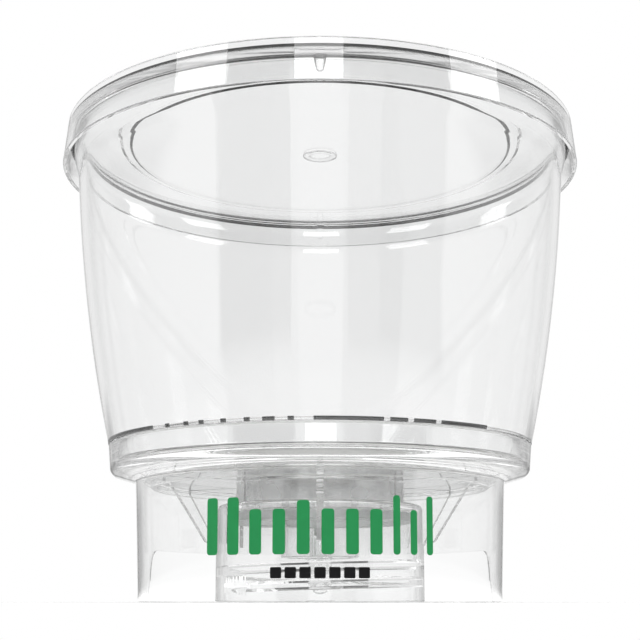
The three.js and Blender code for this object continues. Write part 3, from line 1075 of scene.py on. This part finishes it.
@dataclass
class Base:
    """The moulded base: cup, ridged floor with drains, drum, collar with its thread, gussets and skirt."""

    seat_gap: float = 0.3
    collar_wall: float = 2.0
    ledge_wall: float = 1.8
    side_play: float = 0.6
    drum_radius: float = 20.6
    drum_wall: float = 1.6
    spout_radius: float = 9.4
    spout_wall: float = 1.6
    spout_end: float = 10.4
    floor_wall: float = 1.8
    ridge_height: float = 1.7
    ridge_width: float = 1.5
    ridge_pitch: float = 6.4
    first_ridge: float = 14.0
    seat_width: float = 3.4
    channels: int = 12
    channel_width: float = 2.6
    channel_start: float = 9.0
    cup_draft: float = 0.6
    cup_wall: float = 1.5
    cup_corner: float = 1.7
    bevel_rise: float = 1.7
    skirt_foot: float = 43.3
    skirt_draft: float = 1.3
    skirt_wall: float = 1.6
    window_height: float = 12.6
    window_top_angle: float = 81.0
    window_foot_angle: float = 92.0
    window_corner: float = 7.5
    window_steps: int = 160
    gussets: int = 6
    gusset_wall: float = 1.5
    gusset_reach: float = 39.5
    gusset_toe: float = 30.0
    gusset_toe_height: float = 13.3
    gusset_toe_round: float = 1.5
    ring_depth: float = 1.7
    ring_width: float = 1.4
    port_bore: float = 2.9
    port_wall: float = 1.6
    port_end: float = 12.0
    passage: float = 3.0
    passage_wall: float = 1.5
    embed: float = 0.7
    thread_pitch: float = 4.0
    thread_depth: float = 1.25
    thread_low: float = 3.2
    thread_turns: float = 1.45
    thread_start: float = 205.0  # degrees round the axis
    thread_foot: float = 1.15  # half its width at the bore
    thread_crest: float = 0.45  # half its width inside
    thread_taper: float = 10.0  # how many times its length holds a tapered end
    thread_end: float = 0.06  # the share of its depth that the ends keep
    thread_steps: int = 200
    crest_round: float = 0.2
    foot_round: float = 0.25
    edge_round: float = 0.3
    lip_round: float = 0.4
    inner_round: float = 0.5
    root_round: float = 0.6
    collar_round: float = 1.2
    satin_reach: float = 0.1

    def __post_init__(self) -> None:
        """Takes the levels that meet other pieces from the frame."""
        cup = NodeBox.of("base")
        gasket = NodeBox.of("neck_gasket")
        membrane = NodeBox.of("membrane")
        plug = NodeBox.of("port_plug")
        self.cup_radius = cup.high.x
        self.rim = cup.high.z
        self.support = membrane.low.z - self.seat_gap
        self.floor_top = self.support - self.ridge_height
        self.floor = self.floor_top - self.floor_wall
        self.cup_bore = self.cup_radius - self.cup_wall
        self.ledge = gasket.high.z + self.seat_gap
        self.neck_bore = gasket.high.x + self.side_play
        self.collar = self.neck_bore + self.collar_wall
        self.port_radius = (plug.low.y + plug.high.y) / 2
        self.ridge_limit = self.cup_bore - self.seat_width
        self.skirt_top = self.skirt_foot + self.skirt_draft

    def _section(self) -> list[Corner]:
        """Gives the moulding's section.

        Returns:
            Its corners, from the spout outwards and back over the floor.
        """
        ridges: list[Corner] = []
        radius = self.first_ridge
        while radius + self.ridge_width < self.ridge_limit:
            ridges = [
                Corner(radius + self.ridge_width, self.floor_top, self.foot_round),
                Corner(radius + self.ridge_width, self.support, self.crest_round),
                Corner(radius, self.support, self.crest_round),
                Corner(radius, self.floor_top, self.foot_round),
            ] + ridges
            radius += self.ridge_pitch
        spout_bore = self.spout_radius - self.spout_wall
        drum_bore = self.drum_radius - self.drum_wall
        ring_outer = self.gusset_reach + self.ring_width
        collar_top = self.ledge + self.ledge_wall
        return [
            Corner(spout_bore, self.spout_end, self.lip_round),
            Corner(self.spout_radius, self.spout_end, self.lip_round),
            Corner(self.spout_radius, self.floor, self.root_round),
            Corner(drum_bore, self.floor, self.root_round),
            Corner(drum_bore, self.ledge, self.edge_round),
            Corner(self.neck_bore, self.ledge, self.inner_round),
            Corner(self.neck_bore, 0.0, self.inner_round),
            Corner(self.collar, 0.0, self.edge_round),
            Corner(self.collar, collar_top, self.collar_round),
            Corner(self.drum_radius, collar_top, self.lip_round),
            Corner(self.drum_radius, self.floor, self.inner_round),
            Corner(self.gusset_reach, self.floor, self.edge_round),
            Corner(self.gusset_reach, self.floor - self.ring_depth, self.edge_round),
            Corner(ring_outer, self.floor - self.ring_depth, self.edge_round),
            Corner(ring_outer, self.floor, self.edge_round),
            Corner(self.skirt_top - self.skirt_wall, self.floor, self.inner_round),
            Corner(self.skirt_foot - self.skirt_wall, 0.0, self.foot_round),
            Corner(self.skirt_foot, 0.0, self.foot_round),
            Corner(self.skirt_top, self.floor, self.edge_round),
            Corner(self.cup_radius - self.cup_draft, self.floor + self.bevel_rise, self.cup_corner),
            Corner(self.cup_radius, self.rim, self.crest_round),
            Corner(self.cup_bore, self.rim, self.crest_round),
            Corner(self.cup_bore, self.support, self.edge_round),
            Corner(self.ridge_limit, self.support, self.crest_round),
            Corner(self.ridge_limit, self.floor_top, self.edge_round),
            *ridges,
            Corner(spout_bore, self.floor_top, self.spout_wall),
        ]

    def _gusset(self, angle: float) -> bpy.types.Object:
        """Makes a gusset between collar, drum and floor.

        Args:
            angle: Its direction round the axis, in degrees.

        Returns:
            The gusset.
        """
        root, shoulder = self.collar - self.embed, self.ledge + self.ledge_wall - self.embed
        tip, top = self.gusset_reach + self.embed, self.floor + self.embed
        inner = self.drum_radius - self.embed
        outline = rounded(
            [
                Corner(root, self.gusset_toe_height),
                Corner(self.gusset_toe, self.gusset_toe_height, self.gusset_toe_round),
                Corner(tip, self.floor),
                Corner(tip, top),
                Corner(inner, top),
                Corner(inner, shoulder),
                Corner(root, shoulder),
            ]
        )
        return plate("gusset", outline, self.gusset_wall, angle)

    def _window_edge(self, angle: float) -> float:
        """Gives the height of the window's edge.

        Args:
            angle: The angle from the back, in degrees.

        Returns:
            The height.
        """
        side = abs(angle)
        rake = self.window_foot_angle - self.window_top_angle
        raked = self.window_height * (self.window_foot_angle - side) / rake
        span = math.degrees(self.window_corner / self.skirt_foot)
        into = max(0.0, side - (self.window_top_angle - span / 2)) / span
        fall = self.window_corner * (1 - math.sqrt(max(0.0, 1 - into * into)))
        return min(self.window_height - fall, raked)

    def _window(self) -> bpy.types.Object:
        """Makes the cutter of the window at the back of the skirt.

        Returns:
            The cutter.
        """
        inner, outer = self.skirt_foot - 2 * self.skirt_wall, self.skirt_top + self.skirt_wall
        below = -2 * self.skirt_wall
        rake = (self.window_foot_angle - self.window_top_angle) / self.window_height
        limit = self.window_foot_angle + rake * self.skirt_wall
        sections = []
        for step in range(self.window_steps + 1):
            angle = -limit + 2 * limit * step / self.window_steps
            top = max(self._window_edge(angle), -self.skirt_wall)
            turn = turned(-angle)
            outline = ((inner, below), (outer, below), (outer, top), (inner, top))
            sections.append([turn @ Vector((0, radius, height)) for radius, height in outline])
        return lofted("window", sections)

    def _port_housing(self) -> list[bpy.types.Object]:
        """Makes the boss for the hose port and the block that carries the passage.

        Returns:
            The two solids.
        """
        boss = self.port_bore + self.port_wall
        half = self.passage / 2 + self.passage_wall
        top = self.floor + self.embed
        low = self.floor - self.passage_wall - self.passage - self.passage_wall
        start = self.drum_radius - self.embed
        return [
            self._upright("boss", boss, self.port_end, top),
            block("duct", (-half, start, low), (half, self.port_radius, top)),
        ]

    def _port_cuts(self) -> list[bpy.types.Object]:
        """Makes the cutters of the port's bore and of its passage into the drum.

        Returns:
            The two cutters.
        """
        top = self.floor - self.passage_wall
        half = self.passage / 2
        start = self.drum_radius - self.drum_wall - self.embed
        return [
            self._upright("bore", self.port_bore, self.port_end - self.embed, top),
            block("passage", (-half, start, top - self.passage), (half, self.port_radius, top)),
        ]

    def _upright(self, name: str, radius: float, low: float, high: float) -> bpy.types.Object:
        """Makes an upright cylinder on the port's axis.

        Args:
            name: Its name.
            radius: Its radius.
            low: Height of its lower end.
            high: Height of its upper end.

        Returns:
            The cylinder.
        """
        return tube_along(
            name,
            [(radius, low), (radius, high)],
            lambda x, y, z: Vector((x, y + self.port_radius, z)),
        )

    def _channel(self, angle: float) -> bpy.types.Object:
        """Makes the cutter of a drain channel across the ridges.

        Args:
            angle: Its direction round the axis, in degrees.

        Returns:
            The cutter.
        """
        half = self.channel_width / 2
        end = self.ridge_limit - self.embed / 2
        low = (self.channel_start, -half, self.floor_top)
        return block("channel", low, (end, half, self.support + self.embed), angle)

    def _thread(self) -> bpy.types.Object:
        """Makes the thread's ridge inside the collar, tapered at both ends.

        Returns:
            The ridge.
        """
        outer, foot, top = self.neck_bore + self.embed, self.thread_foot, self.thread_crest
        taper, rest = self.thread_taper, 1 - self.thread_end
        sections = []
        for step in range(self.thread_steps + 1):
            share = step / self.thread_steps
            angle = math.radians(self.thread_start + 360 * self.thread_turns * share)
            middle = self.thread_low + self.thread_pitch * self.thread_turns * share
            fade = min(1.0, taper * share, taper * (1 - share)) * rest + self.thread_end
            crest = self.neck_bore - self.thread_depth * fade
            outline = [(outer, -foot), (outer, foot), (self.neck_bore, foot)]
            outline += [(crest, top), (crest, -top), (self.neck_bore, -foot)]
            out = Vector((math.cos(angle), math.sin(angle), 0))
            sections.append([out * radius + Vector((0, 0, middle + up)) for radius, up in outline])
        return lofted("thread", sections)

    def build(self) -> bpy.types.Object:
        """Builds the base.

        Returns:
            The piece.
        """
        piece = revolved("base_moulding", rounded(self._section()))
        step = 360 / self.gussets
        gussets = [self._gusset(BACK - step + step * i) for i in range(self.gussets)]
        channel_step = 360 / self.channels
        channels = [self._channel(channel_step / 2 + channel_step * i) for i in range(self.channels)]
        moulding = Moulding(piece)
        moulding.work(Operation.JOIN, [*gussets, *self._port_housing(), self._thread()])
        moulding.work(Operation.CUT, [self._window(), *self._port_cuts(), *channels])
        dress(piece, STYRENE_BASE.material(), STYRENE_SATIN.material())
        self._frost_drum(piece)
        report(piece, "base")
        return piece

    def _frost_drum(self, piece: bpy.types.Object) -> None:
        """Gives the drum's wall its satin finish.

        Args:
            piece: The finished moulding.
        """
        low = self.ledge + self.ledge_wall
        for face in piece.data.polygons:
            centre = face.center / MM
            beside = abs(centre.xy.length - self.drum_radius)
            if low < centre.z < self.floor and beside < self.satin_reach:
                face.material_index = 1


@dataclass
class NeckGasket:
    """The flat silicone ring that seals the bottle's mouth."""

    inner_radius: float = 16.5
    edge_round: float = 0.25

    def build(self) -> bpy.types.Object:
        """Builds the gasket.

        Returns:
            The piece.
        """
        box = NodeBox.of("neck_gasket")
        soft = self.edge_round
        outline = [
            Corner(self.inner_radius, box.low.z, soft),
            Corner(box.high.x, box.low.z, soft),
            Corner(box.high.x, box.high.z, soft),
            Corner(self.inner_radius, box.high.z, soft),
        ]
        piece = revolved("gasket_ring", rounded(outline))
        dress(piece, SILICONE.material())
        report(piece, "neck_gasket")
        return piece


@dataclass
class HosePort:
    """The elbow with a spigot up into the boss and a barbed nozzle out through the window."""

    bore: float = 1.7
    tube: float = 3.0
    barb: float = 4.1
    barb_length: float = 5.0
    barbs: int = 3
    barb_face: float = 0.05  # the length of a barb's steep side
    barb_edge: float = 0.25
    barb_land: float = 0.7  # from its steep side to the end of its flat top
    barb_foot: float = 0.1
    nozzle_taper: float = 0.2
    elbow: float = 3.4
    elbow_round: float = 1.2
    elbow_facet: float = 0.35
    spigot: float = 2.55
    shoulder: float = 4.5
    shoulder_wall: float = 0.8
    shoulder_top: float = 11.7
    shoulder_slope: float = 0.02
    edge_round: float = 0.2
    embed: float = 0.7

    def build(self) -> bpy.types.Object:
        """Builds the hose port.

        Returns:
            The piece.
        """
        box = NodeBox.of("hose_port")
        plug = NodeBox.of("port_plug")
        axis_y = (plug.low.y + plug.high.y) / 2
        axis_z = box.low.z + self.elbow
        reach, top = box.high.y, box.high.z

        def upright(x: float, y: float, z: float) -> Vector:
            """Puts a section's point round the spigot's axis."""
            return Vector((x, axis_y + y, z))

        def lying(x: float, z: float, y: float) -> Vector:
            """Puts a section's point round the nozzle's axis."""
            return Vector((x, y, axis_z + z))

        shoulder_low = self.shoulder_top - self.shoulder_wall
        nozzle: list[Point] = [(self.tube, axis_y)]
        for i in range(self.barbs):
            start = reach - (self.barbs - i) * self.barb_length
            nozzle += [
                (self.tube, start - self.barb_face),
                (self.barb - self.barb_edge, start),
                (self.barb, start + self.barb_edge),
                (self.barb, start + self.barb_land),
                (self.tube + self.barb_foot, start + self.barb_length - self.barb_foot),
            ]
        nozzle += [(self.tube - self.nozzle_taper, reach)]
        soft, slope = self.edge_round, self.shoulder_slope
        stem: list[Point] = [
            (self.elbow - self.elbow_round, box.low.z),
            (self.elbow - self.elbow_facet, box.low.z + self.elbow_facet),
            (self.elbow, box.low.z + self.elbow_round),
            (self.elbow, shoulder_low),
            (self.shoulder - soft, shoulder_low + slope),
            (self.shoulder, shoulder_low + soft),
            (self.shoulder, self.shoulder_top - soft),
            (self.shoulder - soft, self.shoulder_top),
            (self.spigot, self.shoulder_top + slope),
            (self.spigot, top - 2 * soft),
            (self.spigot - soft, top),
        ]
        piece = tube_along("hose_elbow", stem, upright)
        moulding = Moulding(piece)
        moulding.work(Operation.JOIN, [tube_along("nozzle", nozzle, lying)])
        bores = [
            tube_along("lying_bore", [(self.bore, axis_y), (self.bore, reach + self.embed)], lying),
            tube_along("upright_bore", [(self.bore, axis_z), (self.bore, top + self.embed)], upright),
        ]
        moulding.work(Operation.CUT, bores)
        dress(piece, STYRENE_BASE.material())
        report(piece, "hose_port")
        return piece


@dataclass
class PortPlug:
    """The plug of fibre in the boss, which keeps mist out of the hose."""

    waist: float = 0.12
    crown: float = 0.75  # its width at the ends, as a share of the full width
    crown_rise: float = 3.0  # how fast it widens from there
    stations: int = 12

    def build(self) -> bpy.types.Object:
        """Builds the plug.

        Returns:
            The piece.
        """
        box = NodeBox.of("port_plug")
        middle = (box.low.y + box.high.y) / 2
        radius = (box.high.y - box.low.y) / 2
        length = box.high.z - box.low.z
        sections = []
        for step in range(self.stations + 1):
            share = step / self.stations
            crown = min(1.0, self.crown + self.crown_rise * min(share, 1 - share))
            width = radius * crown - self.waist * math.sin(math.pi * share)
            sections.append((width, box.low.z + length * share))
        piece = tube_along("fibre_plug", sections, lambda x, y, z: Vector((x, middle + y, z)))
        dress(piece, FIBRE.material())
        report(piece, "port_plug")
        return piece


@dataclass
class PrintedMark:
    """The print on the front of the skirt: a plain row of green bars over a row of black dashes."""

    ink: float = 0.06
    lift: float = 0.02
    bars: tuple[Point, ...] = (
        *((2.7, height) for height in (12.0, 12.0, 9.4, 9.4, 11.2, 9.4, 9.4, 9.4)),
        *((1.6, height) for height in (12.4, 9.4, 12.4)),
    )  # width and height of each
    bar_gap: float = 2.46
    bar_low: float = 9.8
    bar_round: float = 0.7
    dash_width: float = 2.4
    dash_gap: float = 0.7
    dashes: int = 7
    dash_low: float = 4.9
    dash_height: float = 2.3
    dash_round: float = 0.3
    strip: float = 0.8

    def _patch(
        self, name: str, outline: Sequence[Point], surface: Callable[[float], float]
    ) -> bpy.types.Object:
        """Makes a thin patch of ink that follows the skirt.

        Args:
            name: The new object's name.
            outline: Its outline as (distance round the front, height).
            surface: Gives the skirt's radius at a height.

        Returns:
            The patch.
        """
        build = bmesh.new()
        build.faces.new([build.verts.new((along, 0, height)) for along, height in outline])
        low = min(along for along, _ in outline)
        high = max(along for along, _ in outline)
        for i in range(1, math.ceil((high - low) / self.strip)):
            parts = [*build.verts, *build.edges, *build.faces]
            bmesh.ops.bisect_plane(
                build, geom=parts, plane_co=(low + i * self.strip, 0, 0), plane_no=(1, 0, 0)
            )
        grown = bmesh.ops.extrude_face_region(build, geom=list(build.faces))
        outer = {item for item in grown["geom"] if isinstance(item, bmesh.types.BMVert)}
        for vert in build.verts:
            radius = surface(vert.co.z) + self.lift + (self.ink if vert in outer else 0)
            angle = vert.co.x / surface(vert.co.z)
            vert.co = Vector((radius * math.sin(angle), -radius * math.cos(angle), vert.co.z))
        # growing leaves its new faces in any order, so they are put in the same one each run
        ordered = sorted(build.faces, key=lambda face: sorted(vert.co[:] for vert in face.verts))
        places = {face: place for place, face in enumerate(ordered)}
        build.faces.sort(key=places.__getitem__)
        return from_bmesh(name, build)

    def _row(self, sizes: Sequence[Point], gap: float, low: float, soft: float) -> list[list[Point]]:
        """Lays out a centred row of rounded bars that stand on one line.

        Args:
            sizes: Width and height of each bar.
            gap: Space between two bars.
            low: Height of the line.
            soft: Radius of the corners.

        Returns:
            The bars' outlines.
        """
        left = -(sum(width for width, _ in sizes) + gap * (len(sizes) - 1)) / 2
        outlines = []
        for width, height in sizes:
            box = ((left, low), (left + width, low), (left + width, low + height), (left, low + height))
            outlines.append(rounded([Corner(x, z, soft) for x, z in box]))
            left += width + gap
        return outlines

    def build(self, base: Base) -> list[bpy.types.Object]:
        """Builds the print.

        Args:
            base: The base that carries it.

        Returns:
            The pieces.
        """
        pieces = []

        def surface(height: float) -> float:
            """Gives the skirt's outer radius at a height."""
            return base.skirt_foot + base.skirt_draft * height / base.floor

        bars = self._row(self.bars, self.bar_gap, self.bar_low, self.bar_round)
        dash = (self.dash_width, self.dash_height)
        dashes = self._row([dash] * self.dashes, self.dash_gap, self.dash_low, self.dash_round)
        green, black = GREEN_INK.material(), BLACK_INK.material()
        for kind, outlines, material in (("bar", bars, green), ("dash", dashes, black)):
            for i, outline in enumerate(outlines):
                piece = self._patch(f"print_{kind}_{i + 1}", outline, surface)
                dress(piece, material)
                report(piece)
                pieces.append(piece)
        return pieces


# ---------------------------------------------------------------- studio
@dataclass(frozen=True)
class Softbox:
    """A strip light that looks at the unit.

    Attributes:
        azimuth: Its direction from the front, in degrees towards +X.
        width: How wide it looks, in degrees.
        strength: Its brightness beside white.
    """

    azimuth: float
    width: float
    strength: float


@dataclass(frozen=True)
class Card:
    """A dark card that stands on the table, away from the unit.

    Attributes:
        azimuth: Its direction from the front, in degrees towards +X.
        width: How wide it looks, in degrees.
        level: Its brightness beside white.
        top: Height of its upper edge, in degrees over the table.
        soft: Width of its soft sides, in degrees.
    """

    azimuth: float
    width: float
    level: float
    top: float = 90.0
    soft: float = 1.0


@dataclass
class Studio:
    """Pale floor, white background, soft strip lights and the camera, in metres and degrees."""

    floor_size: float = 8.0
    floor_colour: Colour = (0.86, 0.86, 0.86)
    floor_roughness: float = 0.9
    floor_glow: float = 0.1
    floor_glow_through: float = 0.6
    floor_near: float = 0.06
    floor_far: float = 0.18
    cards_near: float = 0.2
    cards_far: float = 0.5
    bright_until: float = 0.44  # the upright part of the direction
    dark_from: float = 0.6
    dark: float = 0.03
    side: float = 0.78
    backdrop_from: float = 135.0
    backdrop_full: float = 166.0
    card_top_edge: float = 1.0
    plain: float = 1.0  # the level at which matt surfaces are lit all round
    box_distance: float = 0.95
    box_low: float = 31.0
    box_high: float = 42.0
    lens: float = 71.74
    sensor: float = 36.0
    nearest: float = 0.001
    camera_distance: float = 0.313
    camera_height: float = 0.0003
    camera_tilt: float = 12.425
    bounces: int = 80
    straight_faces: int = 40
    softboxes: tuple[Softbox, ...] = (
        Softbox(-53.0, 25.0, 3.6),
        Softbox(-0.5, 21.0, 3.6),
        Softbox(71.0, 26.0, 3.6),
        Softbox(122.0, 20.0, 2.4),
        Softbox(-118.0, 20.0, 2.4),
    )
    cards: tuple[Card, ...] = (
        Card(-30.0, 33.0, 0.0),
        Card(20.5, 15.0, 0.35),
        Card(43.0, 30.0, 0.08),
        Card(160.0, 5.0, 0.42, 24.0, 3.0),
        Card(-160.0, 5.0, 0.42, 24.0, 3.0),
        Card(153.0, 10.0, 0.46, 4.2, 6.0),
        Card(-153.0, 10.0, 0.46, 4.2, 6.0),
    )

    def floor(self) -> None:
        """Lays the floor, which melts into the background away from the unit."""
        half = self.floor_size / 2
        build = bmesh.new()
        corners = ((-half, -half, 0), (half, -half, 0), (half, half, 0), (-half, half, 0))
        build.faces.new([build.verts.new(corner) for corner in corners])
        mesh = bpy.data.meshes.new("floor")
        build.to_mesh(mesh)
        build.free()
        floor = linked("floor", mesh)
        material, nodes = new_material("pale_floor")
        seen = nodes.any_ray(Ray.CAMERA, Ray.GLOSSY, Ray.TRANSMISSION)
        place = nodes.add("TexCoord").outputs["Object"]
        away = nodes.add("VectorMath", Vector=place)
        away.operation = "LENGTH"
        melt = nodes.ranged(away.outputs["Value"], (self.floor_near, 0.0), (self.floor_far, 1.0))
        direct, indirect = nodes.any_ray(Ray.CAMERA), nodes.any_ray(Ray.GLOSSY, Ray.TRANSMISSION)
        seen_direct = nodes.maths("MULTIPLY", direct, self.floor_glow)
        seen_through = nodes.maths("MULTIPLY", indirect, self.floor_glow_through)
        matt = nodes.add(
            "BsdfPrincipled",
            Base_Color=self.floor_colour,
            Roughness=self.floor_roughness,
            Specular_IOR_Level=0.0,
            Emission_Color=WHITE,
            Emission_Strength=nodes.maths("MAXIMUM", seen_direct, seen_through),
        )
        near = nodes.ranged(away.outputs["Value"], (self.cards_near, 1.0), (self.cards_far, 0.0))
        bright = nodes.maths("MAXIMUM", near, nodes.maths("MAXIMUM", direct, nodes.unmirrored()))
        level = nodes.maths("MAXIMUM", self._level(nodes, place), bright)
        haze = nodes.add("Emission", Color=WHITE, Strength=level)
        nodes.output(nodes.mixed(nodes.maths("MULTIPLY", seen, melt), matt, haze))
        mesh.materials.append(material)
        floor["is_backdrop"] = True

    def _level(self, nodes: Nodes, place: bpy.types.NodeSocket) -> bpy.types.NodeSocket:
        """Gives the room's brightness near the table, by the direction from the unit.

        Args:
            nodes: The writer of the material or world.
            place: A point or direction.

        Returns:
            The brightness.
        """
        parts = nodes.add("SeparateXYZ", Vector=place)
        height = parts.outputs["Z"]
        forward = nodes.maths("MULTIPLY", parts.outputs["Y"], -1.0)
        azimuth = nodes.maths("ARCTAN2", parts.outputs["X"], forward)
        start, full = math.radians(self.backdrop_from), math.radians(self.backdrop_full)
        level = nodes.ranged(nodes.maths("ABSOLUTE", azimuth), (start, self.side), (full, 1.0))
        for card in self.cards:
            apart = nodes.maths("SUBTRACT", azimuth, math.radians(card.azimuth))
            half = math.radians(card.width / 2)
            end = half + math.radians(card.soft)
            off = nodes.maths("ABSOLUTE", apart)
            beside = nodes.ranged(off, (half, card.level - self.side), (end, 0.0))
            top, edge = math.sin(math.radians(card.top)), math.radians(self.card_top_edge)
            below = nodes.ranged(height, (top - edge, 1.0), (top + edge, 0.0))
            level = nodes.maths("ADD", level, nodes.maths("MULTIPLY", beside, below))
        return level

    def world(self) -> None:
        """Makes the surroundings, white behind the unit and for what looks straight through it.

        Mirrored light sees dimmer sides, the dark cards and a dark ceiling. Matt surfaces are lit at one
        plain level from all round.
        """
        world = bpy.data.worlds.new("studio")
        bpy.context.scene.world = world
        world.use_nodes = True
        nodes = Nodes(world.node_tree)
        direction = nodes.add("TexCoord").outputs["Generated"]
        height = nodes.add("SeparateXYZ", Vector=direction).outputs["Z"]
        low_down = nodes.ranged(height, (self.bright_until, 1.0), (self.dark_from, 0.0))
        above_dark = nodes.maths("SUBTRACT", self._level(nodes, direction), self.dark)
        room = nodes.maths("ADD", nodes.maths("MULTIPLY", above_dark, low_down), self.dark)
        even = nodes.maths("MULTIPLY", nodes.any_ray(Ray.DIFFUSE), self.plain)
        behind = nodes.maths("MAXIMUM", nodes.any_ray(Ray.CAMERA), nodes.unmirrored())
        strength = nodes.maths("MAXIMUM", room, nodes.maths("MAXIMUM", even, behind))
        light = nodes.add("Background", Color=WHITE, Strength=strength)
        nodes.output(light.outputs[0], "OutputWorld")
        world.cycles.sampling_method = "NONE"

    def lights(self, centre: Vector) -> None:
        """Hangs the strip lights round the unit.

        Args:
            centre: What they look at.
        """
        middle = math.radians((self.box_low + self.box_high) / 2)
        spread = math.radians((self.box_high - self.box_low) / 2)
        flat = math.cos(middle)
        for i, box in enumerate(self.softboxes):
            azimuth = math.radians(box.azimuth)
            out = Vector((math.sin(azimuth) * flat, -math.cos(azimuth) * flat, math.sin(middle)))
            data = bpy.data.lights.new(f"softbox_{i + 1}", "AREA")
            data.shape = "RECTANGLE"
            data.size = 2 * self.box_distance * math.tan(math.radians(box.width / 2)) * flat
            data.size_y = 2 * self.box_distance * math.tan(spread)
            data.energy = box.strength * math.pi * data.size * data.size_y
            lamp = bpy.data.objects.new(data.name, data)
            lamp.location = centre + out * self.box_distance
            lamp.rotation_euler = (-out).to_track_quat("-Z", "Y").to_euler()
            lamp.visible_camera = False
            bpy.context.scene.collection.objects.link(lamp)

    def camera(self) -> None:
        """Sets up the camera at table level in front, tilted up."""
        data = bpy.data.cameras.new("camera")
        data.lens = self.lens
        data.sensor_width = self.sensor
        data.clip_start = self.nearest
        camera = bpy.data.objects.new("camera", data)
        camera.location = (0, -self.camera_distance, self.camera_height)
        camera.rotation_euler = (math.radians(90 + self.camera_tilt), 0, 0)
        bpy.context.scene.collection.objects.link(camera)
        bpy.context.scene.camera = camera

    def paths(self) -> None:
        """Lets light cross the many clear walls."""
        cycles = bpy.context.scene.cycles
        cycles.max_bounces = self.bounces
        cycles.transmission_bounces = self.bounces
        cycles.glossy_bounces = self.bounces
        cycles.transparent_max_bounces = self.straight_faces

    def build(self) -> None:
        """Builds the studio."""
        low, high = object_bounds()
        self.camera()
        self.floor()
        self.world()
        self.lights((low + high) / 2)
        self.paths()
        bpy.context.scene.view_settings.view_transform = "Standard"


def main() -> None:
    """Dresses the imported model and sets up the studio."""
    logging.basicConfig(level=logging.INFO, format="%(name)s: %(message)s")
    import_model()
    Studio().build()
    for part in (Lid(), Funnel(), Membrane(), NeckGasket(), HosePort(), PortPlug()):
        part.build()
    base = Base()
    base.build()
    PrintedMark().build(base)


if __name__ == "__main__":
    main()
